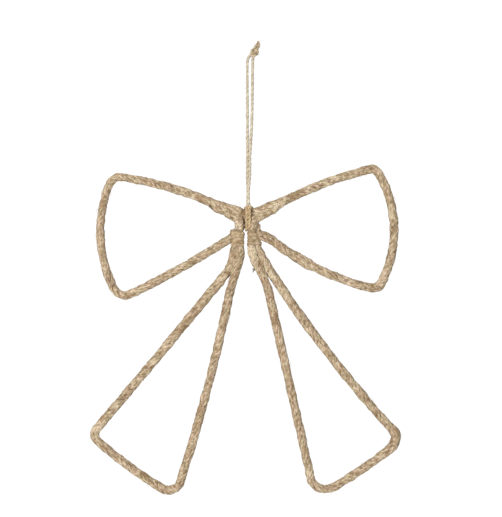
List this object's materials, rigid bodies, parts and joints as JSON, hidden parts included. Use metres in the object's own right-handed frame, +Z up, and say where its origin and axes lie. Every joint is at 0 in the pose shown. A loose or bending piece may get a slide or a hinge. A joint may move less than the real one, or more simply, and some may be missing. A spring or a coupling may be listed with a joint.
{
  "type": "bow ornament",
  "caption": "Hanging bow in wound wire: two open loops over two open tails, with a knotted twine loop to hang it by.",
  "frame": {"origin": "hanging point: inside the top of the twine loop, just under its knot", "axes": "+Z up along the hanging loop, +X to the right as the front is seen, -Y out of the bow's front"},
  "size_m": [0.1556, 0.0085, 0.2273],
  "materials": {
    "wound_jute": "coarse natural jute wound on wire, fibrous",
    "lashing_jute": "the same jute in tight turns",
    "jute_twine": "two-strand twisted jute twine"
  },
  "bodies": {
    "root": {"bow_loops": "wound_jute", "left_tail": "wound_jute", "right_tail": "wound_jute", "left_lashing": "lashing_jute", "right_lashing": "lashing_jute", "hanging_loop": "jute_twine", "hanging_knot": "jute_twine"}
  },
  "joints": []
}
